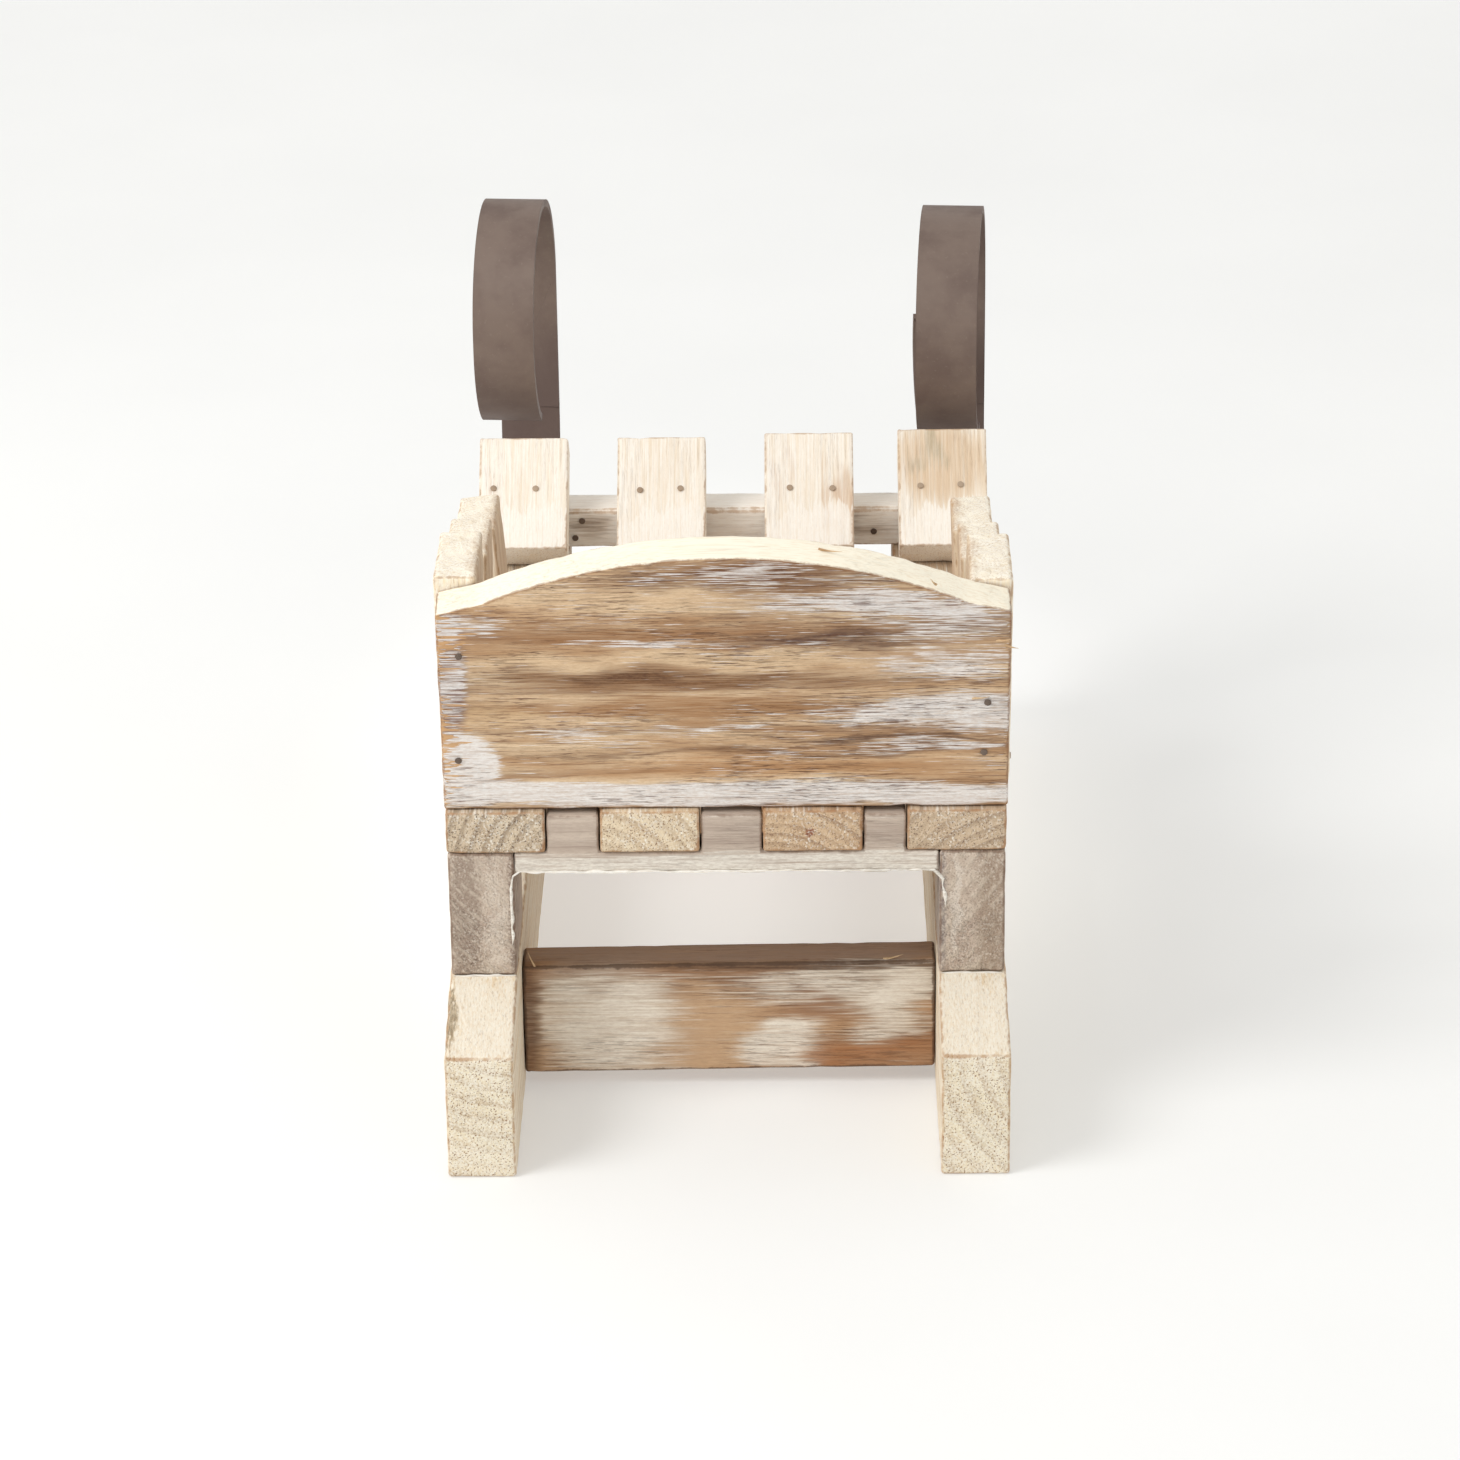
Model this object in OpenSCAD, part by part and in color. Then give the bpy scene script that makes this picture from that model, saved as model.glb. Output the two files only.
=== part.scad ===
// Rustic wooden sleigh with steel scroll fronts.
// Millimetres, +Z up, +Y runs from the rear board to the scrolls.
// The origin is on the ground at the middle of the overall box. Inside the modules, X = 0 is
// the middle of the runners and Y = 0 the rear end of the floor planks. at_origin() moves a
// piece into place.

/* [Overall] */
// Width over the runners
body_w = 198.6; // [160:0.2:260]
// Distance from the rear end of the floor planks to the front end of the runners
runner_front_y = 342; // [300:1:420]
// Height of the top face of the floor planks above the ground
floor_top = 122.2; // [90:0.1:160]

/* [Stock] */
// Thickness of planks, pickets, slats and boards
board_t = 16; // [10:0.5:22]
// Width of planks, pickets and slats
board_w = 35; // [25:0.5:45]

/* [Runners] */
// Width of one runner
runner_w = 24.5; // [18:0.5:32]
// Height of one runner under the legs
runner_h = 58.2; // [40:0.1:70]
// Height of the rear end face of a runner
runner_tail_h = 47.5; // [30:0.5:58]
// How far a runner sticks out behind the floor planks
runner_tail = 43; // [20:1:60]
// Radius of the round under the front end of a runner
runner_nose_r = 26; // [10:1:40]

/* [Legs] */
// Width of one leg
leg_w = 23.5; // [16:0.5:30]
// Length of one leg along the runner
leg_d = 48; // [25:1:70]
// How far the legs stand in from the outer faces of the runners
leg_inset = 0.8; // [0:0.1:3]
// Rear face of the front legs
front_leg_y = 178; // [150:1:200]

/* [Floor] */
// Length of the floor planks
plank_l = 268; // [220:1:320]
// Thickness of the battens under the floor
batten_t = 8; // [5:0.5:12]
// Width of the battens under the floor
batten_w = 34; // [20:1:45]
// Thickness of the notched batten at the rear, along the planks
rear_batten_t = 16; // [8:0.5:24]
// Slit left between the teeth of the rear batten and the rear board
tooth_gap = 1.6; // [0.5:0.1:4]

/* [Rear board] */
// Width of the rear board
rear_w = 198.4; // [160:0.2:260]
// Backward lean of the rear board in degrees
rear_lean = 9; // [0:0.5:20]
// Height of the rear board at its middle, along its face
rear_mid_h = 102.6; // [70:0.2:140]
// Height of the rear board at its side edges, along its face
rear_side_h = 80.6; // [50:0.2:120]
// Radius of the arch on top of the rear board
rear_arch_r = 205; // [150:1:400]

/* [Pickets] */
// Thickness of the pickets
picket_t = 15.2; // [10:0.1:22]
// Height of the left rear picket above the floor
left_rear_h = 87.8; // [50:0.1:120]
// Height of the left middle picket above the floor
left_middle_h = 69.9; // [40:0.1:110]
// Height of the left front picket above the floor
left_front_h = 55.9; // [30:0.1:100]
// Height of the right rear picket above the floor
right_rear_h = 85.5; // [50:0.1:120]
// Height of the right middle picket above the floor
right_middle_h = 66.8; // [40:0.1:110]
// Height of the right front picket above the floor
right_front_h = 54.3; // [30:0.1:100]
// Distance from the front edge of one picket to the front edge of the next
picket_pitch = 57; // [45:0.5:80]
// Front edge of the rear pickets
picket_first_y = 48; // [40:0.5:60]

/* [Front slats] */
// Slope of the front slats above the floor in degrees
slat_slope = 42; // [30:0.5:70]
// Length of the front slats along the slope
slat_l = 48.6; // [35:0.1:80]
// Where the lower faces of the slats meet the floor
slat_foot_y = 229.3; // [200:0.1:250]
// Depth of the rail that carries the slats
rail_d = 17; // [10:0.5:25]

/* [Crossbars] */
// Height of a crossbar
cross_h = 43.6; // [30:0.1:55]
// Thickness of a crossbar
cross_t = 16.6; // [10:0.1:22]
// Rear face of the rear crossbar
cross_y = 25; // [10:0.5:50]
// Gap under a crossbar
cross_gap = 6.2; // [2:0.1:15]
// How much higher the right end of the rear crossbar is than its left end
cross_rise = 1.6; // [0:0.1:4]

/* [Scrolls] */
// Width of the steel strap
strap_w = 24; // [15:0.5:30]
// Thickness of the steel strap
strap_t = 3; // [1.5:0.1:5]
// Front faces of the stems, from the rear end of the floor planks
scroll_front_y = 353; // [320:1:400]
// Length of strap lying flat on top of a runner
strap_foot = 34; // [24:1:40]
// Height at which the stems become upright
stem_turn_z = 145; // [110:1:160]
// Height of the top of the left scroll
left_top = 243.4; // [200:0.1:280]
// Height of the top of the right scroll
right_top = 240.2; // [200:0.1:280]
// Outer radius of the left scroll
left_scroll_r = 42.1; // [30:0.1:50]
// Outer radius of the right scroll
right_scroll_r = 46; // [30:0.1:50]
// How much longer than it is wide the left ring is
left_scroll_drop = 5; // [0:0.5:10]
// Turn of the left ring about its stem in degrees
left_scroll_turn = -3.9; // [-6:0.1:6]
// Turn of the right ring about its stem in degrees
right_scroll_turn = -4.4; // [-6:0.1:6]
// Outer radius of the curl inside the right ring
right_curl_r = 29; // [20:1:35]
// Turn of the curl inside the right ring, seen from the ring, in degrees
right_curl_turn = 8; // [-10:0.1:10]

/* [Fasteners] */
// Diameter of a nail head
nail_d = 2.6; // [1.5:0.1:4]
// Diameter of a screw head on the straps
screw_d = 7; // [4:0.5:9]

/* [Hidden] */
$fn = 64;
floor_under = floor_top - board_t;
half_w = body_w / 2;
leg_h = floor_under - runner_h;
rail_y = slat_foot_y + 17.4;
slat_lift = -0.8;
plank_left = [-98.9, -44.5, 12.9, 63.6];
slat_left = [-98.4, -44.4, 13.4, 65.8];
slat_extra = [0, 0, 1.4, 2.6];
picket_x = 100.4;
head_t = 0.6;
screw_h = 1.6;
side_clear = 0.3;
left_strap_x = -83.2;
right_strap_x = 91.8;
front_turn = max(abs(left_scroll_turn), abs(right_scroll_turn));
front_end = scroll_front_y - strap_t / 2 * (1 - cos(front_turn)) + strap_w / 2 * sin(front_turn);
right_end = right_strap_x + strap_w / 2 * cos(right_scroll_turn) + strap_t / 2 * sin(abs(right_scroll_turn));
left_end = -picket_x - head_t;
mid_x = (right_end + left_end) / 2;
mid_y = (front_end - runner_tail) / 2;
brown = [0.62, 0.45, 0.31];
cream = [0.92, 0.87, 0.78];
whitewash = [0.82, 0.79, 0.74];
grey = [0.62, 0.56, 0.51];
steel = [0.38, 0.33, 0.28];
dark = [0.2, 0.17, 0.14];

// ---- shared shapes ----

// Moves a piece from the frame of the floor planks to the part's own origin.
module at_origin() {
  translate([-mid_x, -mid_y, 0])
    children();
}

// A board standing in the slope plane of the slats, foot at the origin.
module slope_board(w, l, t) {
  rotate([slat_slope, 0, 0])
    cube([w, l, t]);
}

// The room above the floor planks.
module above_floor() {
  translate([-200, -200, floor_top])
    cube([400, 800, 400]);
}

// The room behind the inner face of the rear board.
module behind_rear_board() {
  translate([-200, 0, floor_top])
    rotate([rear_lean, 0, 0])
      translate([0, board_t - 200, -60])
        cube([400, 200, 300]);
}

// Part of a strap ring; angles run from +Y towards +Z.
module strap_arc(r, from, to) {
  rotate([90, 0, 90])
    rotate([0, 0, from])
      rotate_extrude(angle = to - from)
        translate([r - strap_t, 0])
          square([strap_t, strap_w]);
}

// A nail head lying on a face that looks along -Y.
module head_back(d) {
  rotate([90, 0, 0])
    cylinder(d = d, h = head_t);
}

// ---- floor ----

module floor_plank(i) {
  color(brown)
    translate([plank_left[i], 0, floor_under])
      cube([board_w + 0.2, plank_l, board_t]);
}

// A strip under the planks, from leg to leg.
module batten(y, depth) {
  x0 = half_w - leg_inset - leg_w;
  translate([-x0, y, floor_under - batten_t])
    cube([2 * x0, depth, batten_t]);
}

// One tooth of the rear batten, which fills the gap to the right of plank i.
module batten_tooth(i, y) {
  x0 = plank_left[i] + board_w + 0.2 + side_clear;
  x1 = plank_left[i + 1] - side_clear;
  translate([x0, y, floor_under - 1])
    cube([x1 - x0, rear_batten_t, board_t - tooth_gap + 1]);
}

// The rear batten is a board on edge, notched for the four planks.
module rear_batten_shape() {
  color(whitewash)
    union() {
      batten(0.6, rear_batten_t);
      for (i = [0 : 2])
        batten_tooth(i, 0.6);
    }
}

module front_batten_shape() {
  color(whitewash)
    batten(front_leg_y + 6, batten_w);
}

// ---- rear board ----

// Square stock with the arch cut from its top edge.
module rear_blank() {
  intersection() {
    translate([-rear_w / 2, 0, -20])
      cube([rear_w, board_t, rear_mid_h + 30]);
    translate([0, -1, rear_mid_h - rear_arch_r])
      rotate([-90, 0, 0])
        cylinder(r = rear_arch_r, h = board_t + 2, $fn = 240);
  }
}

// The flatter ears at both ends of the arch.
module rear_ear() {
  translate([0, board_t, 0])
    rotate([90, 0, 0])
      linear_extrude(board_t)
        polygon([[70, 0], [rear_w / 2, 0], [rear_w / 2, rear_side_h], [83, 85], [70, 84]]);
}

module rear_board_shape() {
  color(brown)
    intersection() {
      translate([0, 2.6, floor_top])
        rotate([rear_lean, 0, 0])
          union() {
            rear_blank();
            rear_ear();
            mirror([1, 0, 0])
              rear_ear();
          }
      above_floor();
    }
}

// ---- side pickets ----

// A plain picket; lean is positive when its top tips towards +X.
module picket(side, k, h, lean, inset) {
  x0 = side > 0 ? picket_x - picket_t - inset : -picket_x + inset;
  y1 = picket_first_y + k * picket_pitch;
  color(cream)
    intersection() {
      translate([x0, y1 - board_w, floor_top])
        rotate([0, lean, 0])
          translate([0, 0, -8])
            cube([picket_t, board_w, h + 8]);
      above_floor();
    }
}

// The rear pickets are cut to the lean of the rear board, which is nailed to them.
module rear_picket(side, h) {
  x0 = side > 0 ? picket_x - picket_t : -picket_x;
  color(cream)
    difference() {
      translate([x0, 0, floor_top])
        cube([picket_t, picket_first_y, h]);
      translate([0, 2.6, 0])
        behind_rear_board();
    }
}

// ---- sloping front ----

module front_slat(i) {
  color(cream)
    intersection() {
      translate([slat_left[i], slat_foot_y, floor_top + slat_lift])
        slope_board(board_w, slat_l + slat_extra[i], board_t);
      above_floor();
    }
}

// Square rail with its rear top edge planed to the slope of the slats.
module front_rail_shape() {
  color(whitewash)
    difference() {
      translate([-half_w + 1, rail_y, floor_top])
        cube([body_w - 2, rail_d, board_t]);
      translate([-150, slat_foot_y, floor_top + slat_lift])
        slope_board(300, 120, 60);
    }
}

// ---- undercarriage ----

module leg(side, y) {
  x0 = side > 0 ? half_w - leg_inset - leg_w : -half_w + leg_inset;
  color(grey)
    translate([x0, y, runner_h])
      cube([leg_w, leg_d, leg_h]);
}

module left_rear_leg_shape() {
  leg(-1, 0);
}

module right_rear_leg_shape() {
  leg(1, 0);
}

module left_front_leg_shape() {
  leg(-1, front_leg_y);
}

module right_front_leg_shape() {
  leg(1, front_leg_y);
}

// Corner left over outside the round nose of a runner.
module nose_waste() {
  translate([-1, runner_front_y - runner_nose_r, -1])
    difference() {
      cube([runner_w + 2, runner_nose_r + 1, runner_nose_r + 1]);
      translate([-1, 0, runner_nose_r + 1])
        rotate([0, 90, 0])
          cylinder(r = runner_nose_r, h = runner_w + 4);
    }
}

// Side outline of a runner with its sloping tail, before the nose is cut.
module runner_blank() {
  rotate([90, 0, 90])
    linear_extrude(runner_w)
      polygon([
        [-runner_tail, 0],
        [runner_front_y, 0],
        [runner_front_y, runner_h],
        [0, runner_h],
        [-runner_tail, runner_tail_h]
      ]);
}

module runner() {
  color(cream)
    difference() {
      runner_blank();
      nose_waste();
    }
}

module left_runner_shape() {
  translate([-half_w, 0, 0])
    runner();
}

module right_runner_shape() {
  translate([half_w - runner_w, 0, 0])
    runner();
}

// A bar between the runners whose right end is set higher by rise.
module crossbar(y, rise) {
  x0 = half_w - runner_w;
  z0 = cross_gap - rise / 2;
  z1 = cross_gap + rise / 2;
  color(brown)
    translate([0, y + cross_t, 0])
      rotate([90, 0, 0])
        linear_extrude(cross_t)
          polygon([[-x0, z0], [x0, z1], [x0, z1 + cross_h], [-x0, z0 + cross_h]]);
}

// ---- steel scrolls ----

// Foot lying on the runner and the quarter sweep that rises from it.
module scroll_foot() {
  sweep_r = stem_turn_z - runner_h;
  translate([0, -sweep_r - strap_foot, runner_h])
    cube([strap_w, strap_foot, strap_t]);
  translate([0, -sweep_r, stem_turn_z])
    strap_arc(sweep_r, 270, 360);
}

// Upright stem from just inside the sweep to the centre of the ring.
module scroll_stem(centre_z) {
  z0 = stem_turn_z - 2;
  translate([0, -strap_t, z0])
    cube([strap_w, strap_t, centre_z - z0]);
}

// Stands a strap on its runner and turns it about the middle of its stem.
module strap_place(x, turn) {
  translate([x, scroll_front_y - strap_t / 2, 0])
    rotate([0, 0, turn])
      translate([-strap_w / 2, strap_t / 2, 0])
        children();
}

// Half ring that runs straight down and then turns in, with its cut end hanging free.
module left_scroll_shape() {
  cz = left_top - left_scroll_r;
  color(steel)
    union() {
      strap_place(left_strap_x, 0)
        scroll_foot();
      strap_place(left_strap_x, left_scroll_turn)
        union() {
          scroll_stem(cz);
          translate([0, -left_scroll_r, cz])
            strap_arc(left_scroll_r, 0, 180);
          translate([0, -2 * left_scroll_r, cz - left_scroll_drop])
            cube([strap_w, strap_t, left_scroll_drop]);
          translate([0, -left_scroll_r, cz - left_scroll_drop])
            strap_arc(left_scroll_r, 180, 242);
        }
    }
}

// Larger ring whose end curls up inside itself and turns away to one side.
module right_scroll_shape() {
  cz = right_top - right_scroll_r;
  color(steel)
    union() {
      strap_place(right_strap_x, 0)
        scroll_foot();
      strap_place(right_strap_x, right_scroll_turn)
        union() {
          scroll_stem(cz);
          translate([0, -right_scroll_r, cz])
            strap_arc(right_scroll_r, 0, 270);
          translate([strap_w / 2 - 0.8, -right_scroll_r, cz - right_scroll_r + right_curl_r])
            rotate([0, 0, right_curl_turn])
              translate([-strap_w / 2, 0, 0])
                strap_arc(right_curl_r, 264, 382);
        }
    }
}

// ---- fasteners ----

// Nail heads at both ends of the rear board.
module rear_board_nails_shape() {
  color(dark)
    translate([0, 2.6, floor_top])
      rotate([rear_lean, 0, 0]) {
        translate([-91.4, 0, 64])
          head_back(nail_d);
        translate([-93.2, 0, 21])
          head_back(nail_d);
        translate([91.3, 0, 43.6])
          head_back(nail_d);
        translate([90.3, 0, 23])
          head_back(nail_d);
      }
}

// A nail head on the upper face of a slat.
module slat_head(x, up) {
  translate([x, slat_foot_y, floor_top + slat_lift])
    rotate([slat_slope, 0, 0])
      translate([0, up, board_t])
        cylinder(d = nail_d, h = head_t);
}

module slat_nails_shape() {
  color(dark) {
    slat_head(-92.6, 26.2);
    slat_head(-76.1, 26);
    slat_head(-35.2, 25);
    slat_head(-19.4, 25.6);
    slat_head(23.4, 25.6);
    slat_head(40.1, 25.2);
    slat_head(74.5, 26);
    slat_head(90.2, 26.4);
  }
}

// Nail heads on the rear face of the rail, in two of the gaps between slats.
module rail_nails_shape() {
  color(dark) {
    translate([-58.6, rail_y, floor_top + 11.3])
      head_back(nail_d);
    translate([-61.4, rail_y, floor_top + 4.1])
      head_back(nail_d);
    translate([56.4, rail_y, floor_top + 6])
      head_back(nail_d);
  }
}

// A pair of nail heads on the outer face of a picket, low above the floor.
module picket_pair(side, y) {
  translate([side * picket_x, y, floor_top + 9])
    rotate([0, side * 90, 0])
      cylinder(d = nail_d, h = head_t);
  translate([side * picket_x, y + 14, floor_top + 11])
    rotate([0, side * 90, 0])
      cylinder(d = nail_d, h = head_t);
}

module picket_nails_shape() {
  color(dark)
    for (side = [-1, 1])
      picket_pair(side, picket_first_y - 22);
}

// Nail heads on the outer faces of the runners, in line with the crossbars.
module crossbar_nails_shape() {
  color(dark)
    for (side = [-1, 1])
      for (y = [cross_y, front_leg_y + 35])
        for (z = [16, 38])
          translate([side * half_w, y + cross_t / 2, z])
            rotate([0, side * 90, 0])
              cylinder(d = nail_d, h = head_t);
}

// Domed screw heads on the feet of the straps.
module strap_screw(x, back) {
  sweep_r = stem_turn_z - runner_h;
  translate([x, scroll_front_y - sweep_r - back, runner_h + strap_t])
    cylinder(d1 = screw_d, d2 = screw_d - 2.4, h = screw_h);
}

module strap_screws_shape() {
  color(dark)
    for (back = [8, 25]) {
      strap_screw(left_strap_x, back);
      strap_screw(right_strap_x, back);
    }
}

// ---- nodes ----

module floor_plank_1() {
  at_origin()
    floor_plank(0);
}

module floor_plank_2() {
  at_origin()
    floor_plank(1);
}

module floor_plank_3() {
  at_origin()
    floor_plank(2);
}

module floor_plank_4() {
  at_origin()
    floor_plank(3);
}

module rear_batten() {
  at_origin()
    rear_batten_shape();
}

module front_batten() {
  at_origin()
    front_batten_shape();
}

module rear_board() {
  at_origin()
    rear_board_shape();
}

module left_rear_picket() {
  at_origin()
    rear_picket(-1, left_rear_h);
}

module left_middle_picket() {
  at_origin()
    picket(-1, 1, left_middle_h, 0, 0);
}

module left_front_picket() {
  at_origin()
    picket(-1, 2, left_front_h, -4.5, 4);
}

module right_rear_picket() {
  at_origin()
    rear_picket(1, right_rear_h);
}

module right_middle_picket() {
  at_origin()
    picket(1, 1, right_middle_h, -1, 0);
}

module right_front_picket() {
  at_origin()
    picket(1, 2, right_front_h, -2, 0);
}

module front_slat_1() {
  at_origin()
    front_slat(0);
}

module front_slat_2() {
  at_origin()
    front_slat(1);
}

module front_slat_3() {
  at_origin()
    front_slat(2);
}

module front_slat_4() {
  at_origin()
    front_slat(3);
}

module front_rail() {
  at_origin()
    front_rail_shape();
}

module left_rear_leg() {
  at_origin()
    left_rear_leg_shape();
}

module right_rear_leg() {
  at_origin()
    right_rear_leg_shape();
}

module left_front_leg() {
  at_origin()
    left_front_leg_shape();
}

module right_front_leg() {
  at_origin()
    right_front_leg_shape();
}

module left_runner() {
  at_origin()
    left_runner_shape();
}

module right_runner() {
  at_origin()
    right_runner_shape();
}

module rear_crossbar() {
  at_origin()
    crossbar(cross_y, cross_rise);
}

module front_crossbar() {
  at_origin()
    crossbar(front_leg_y + 35, 0);
}

module left_scroll() {
  at_origin()
    left_scroll_shape();
}

module right_scroll() {
  at_origin()
    right_scroll_shape();
}

module rear_board_nails() {
  at_origin()
    rear_board_nails_shape();
}

module slat_nails() {
  at_origin()
    slat_nails_shape();
}

module rail_nails() {
  at_origin()
    rail_nails_shape();
}

module picket_nails() {
  at_origin()
    picket_nails_shape();
}

module crossbar_nails() {
  at_origin()
    crossbar_nails_shape();
}

module strap_screws() {
  at_origin()
    strap_screws_shape();
}

// ---- drawing ----

floor_plank_1();
floor_plank_2();
floor_plank_3();
floor_plank_4();
rear_batten();
front_batten();
rear_board();
left_rear_picket();
left_middle_picket();
left_front_picket();
right_rear_picket();
right_middle_picket();
right_front_picket();
front_slat_1();
front_slat_2();
front_slat_3();
front_slat_4();
front_rail();
left_rear_leg();
right_rear_leg();
left_front_leg();
right_front_leg();
left_runner();
right_runner();
rear_crossbar();
front_crossbar();
left_scroll();
right_scroll();
rear_board_nails();
slat_nails();
rail_nails();
picket_nails();
crossbar_nails();
strap_screws();
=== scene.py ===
import bmesh
import bpy
import math
import numpy as np
from mathutils import Matrix, Vector, noise


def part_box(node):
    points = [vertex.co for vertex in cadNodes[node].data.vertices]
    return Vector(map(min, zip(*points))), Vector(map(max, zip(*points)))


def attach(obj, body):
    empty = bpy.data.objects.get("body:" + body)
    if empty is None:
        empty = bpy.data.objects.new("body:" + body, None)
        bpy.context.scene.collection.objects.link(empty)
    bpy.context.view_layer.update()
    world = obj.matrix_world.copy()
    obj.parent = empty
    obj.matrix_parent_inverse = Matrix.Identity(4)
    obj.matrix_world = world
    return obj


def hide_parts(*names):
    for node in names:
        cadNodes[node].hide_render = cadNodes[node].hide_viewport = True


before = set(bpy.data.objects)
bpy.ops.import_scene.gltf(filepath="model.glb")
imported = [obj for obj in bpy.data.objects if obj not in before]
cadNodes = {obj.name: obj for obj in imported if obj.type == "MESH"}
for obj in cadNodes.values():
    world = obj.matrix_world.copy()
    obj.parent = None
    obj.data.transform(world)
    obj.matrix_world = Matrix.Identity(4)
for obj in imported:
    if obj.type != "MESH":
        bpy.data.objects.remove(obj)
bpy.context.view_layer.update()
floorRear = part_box("floor_plank_1")[0].y  # rear ends of the floor planks
middle = (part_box("left_runner")[0].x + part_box("right_runner")[1].x) / 2  # half way between the runners
print("frame loaded,", len(cadNodes), "nodes")


def rgb(red, green, blue):
    # 0-255 screen values to the linear colour that shaders want
    def flat(value):
        value = value / 255
        return value / 12.92 if value <= 0.04045 else ((value + 0.055) / 1.055) ** 2.4
    return (flat(red), flat(green), flat(blue), 1.0)


def mm(*values):
    return tuple(value / 1000 for value in values)


def plug(tree, socket, value):
    if isinstance(value, bpy.types.NodeSocket):
        tree.links.new(value, socket)
    elif value is not None:
        socket.default_value = value


def mathOf(tree, operation, a, b=None):
    node = tree.nodes.new("ShaderNodeMath")
    node.operation = operation
    plug(tree, node.inputs[0], a)
    plug(tree, node.inputs[1], b)
    return node.outputs[0]


def times(tree, a, b):
    return mathOf(tree, "MULTIPLY", a, b)


def plus(tree, a, b):
    return mathOf(tree, "ADD", a, b)


def minus(tree, a, b):
    return mathOf(tree, "SUBTRACT", a, b)


def vectorOf(tree, operation, a, b=None):
    node = tree.nodes.new("ShaderNodeVectorMath")
    node.operation = operation
    plug(tree, node.inputs[0], a)
    plug(tree, node.inputs[1], b)
    return node.outputs["Value"] if operation in ("LENGTH", "DOT_PRODUCT") else node.outputs["Vector"]


def scaledVector(tree, vector, factor):
    node = tree.nodes.new("ShaderNodeVectorMath")
    node.operation = "SCALE"
    plug(tree, node.inputs[0], vector)
    plug(tree, node.inputs["Scale"], factor)
    return node.outputs["Vector"]


def mixOf(tree, factor, a, b):
    node = tree.nodes.new("ShaderNodeMix")
    node.data_type = "RGBA"
    plug(tree, node.inputs[0], factor)
    plug(tree, node.inputs[6], a)
    plug(tree, node.inputs[7], b)
    return node.outputs[2]


def fade(tree, value, low, high, toLow=0.0, toHigh=1.0):
    node = tree.nodes.new("ShaderNodeMapRange")
    node.interpolation_type = "SMOOTHSTEP"
    for socket, part in zip(node.inputs[:5], (value, low, high, toLow, toHigh)):
        plug(tree, socket, part)
    return node.outputs[0]


def noiseOf(tree, coords, stretch, detail=3.0, rough=0.55, colour=False):
    node = tree.nodes.new("ShaderNodeTexNoise")
    plug(tree, node.inputs["Vector"], vectorOf(tree, "MULTIPLY", coords, stretch))
    node.inputs["Scale"].default_value = 1.0
    node.inputs["Detail"].default_value = detail
    node.inputs["Roughness"].default_value = rough
    return node.outputs["Color" if colour else "Fac"]


def centredNoise(tree, coords, size, rough):
    return vectorOf(tree, "SUBTRACT", noiseOf(tree, coords, size, 2.0, rough, colour=True), (0.5, 0.5, 0.5))


def grainNoise(tree, coords, along, width, detail, rough=0.5):
    # noise drawn out along X; width is the size of one streak in metres
    node = tree.nodes.new("ShaderNodeTexNoise")
    drawnOut = vectorOf(tree, "MULTIPLY", coords, (along, 1, 1))
    plug(tree, node.inputs["Vector"], scaledVector(tree, drawnOut, mathOf(tree, "DIVIDE", 1.0, width)))
    node.inputs["Scale"].default_value = 1.0
    node.inputs["Detail"].default_value = detail
    node.inputs["Roughness"].default_value = rough
    return node.outputs["Fac"]


def partsOf(tree, vector):
    node = tree.nodes.new("ShaderNodeSeparateXYZ")
    plug(tree, node.inputs[0], vector)
    return node.outputs


def meshValue(tree, name, output="Fac"):
    node = tree.nodes.new("ShaderNodeAttribute")
    node.attribute_type, node.attribute_name = "GEOMETRY", name
    return node.outputs[output]


def newGroup(name, inputs, outputs):
    tree = bpy.data.node_groups.new(name, "ShaderNodeTree")
    for label, kind, value in inputs:
        socket = tree.interface.new_socket(name=label, in_out="INPUT", socket_type=kind)
        if value is not None:
            socket.default_value = value
    for label, kind in outputs:
        tree.interface.new_socket(name=label, in_out="OUTPUT", socket_type=kind)
    return tree, tree.nodes.new("NodeGroupInput").outputs, tree.nodes.new("NodeGroupOutput").inputs


def useGroup(tree, group, values):
    node = tree.nodes.new("ShaderNodeGroup")
    node.node_tree = group
    for label, value in values.items():
        plug(tree, node.inputs[label], value)
    return node.outputs


number, vector, colour = "NodeSocketFloat", "NodeSocketVector", "NodeSocketColor"

# growth rings, fibre, stain bands and pores of a board whose grain runs along X
boardGrain, gi, go = newGroup(
    "boardGrain",
    [("Coords", vector, None), ("Pith", vector, (0, 0.02, -0.03)), ("Ring Width", number, 0.004),
     ("Wander", number, 0.004), ("Band Width", number, 0.008), ("Fibre Width", number, 0.0007)],
    [("Rings", number), ("Fibre", number), ("Bands", number), ("Pores", number), ("Height", number)],
)
tree = boardGrain
drift = centredNoise(tree, gi["Coords"], (5, 16, 16), 0.55)
place = vectorOf(tree, "ADD", gi["Coords"], scaledVector(tree, drift, gi["Wander"]))
across = vectorOf(tree, "MULTIPLY", vectorOf(tree, "SUBTRACT", place, gi["Pith"]), (0.03, 1, 1))
turns = mathOf(tree, "DIVIDE", vectorOf(tree, "LENGTH", across), gi["Ring Width"])
part = mathOf(tree, "FRACT", turns)
late = times(tree, fade(tree, part, 0.3, 0.9), fade(tree, part, 0.9, 1.0, 1.0, 0.0))
yearly = tree.nodes.new("ShaderNodeTexWhiteNoise")
yearly.noise_dimensions = "1D"
plug(tree, yearly.inputs["W"], mathOf(tree, "FLOOR", turns))
rings = times(tree, late, fade(tree, yearly.outputs["Value"], 0.0, 1.0, 0.35, 1.0))
fibre = grainNoise(tree, place, 0.028, gi["Fibre Width"], 4.0, 0.6)
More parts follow.
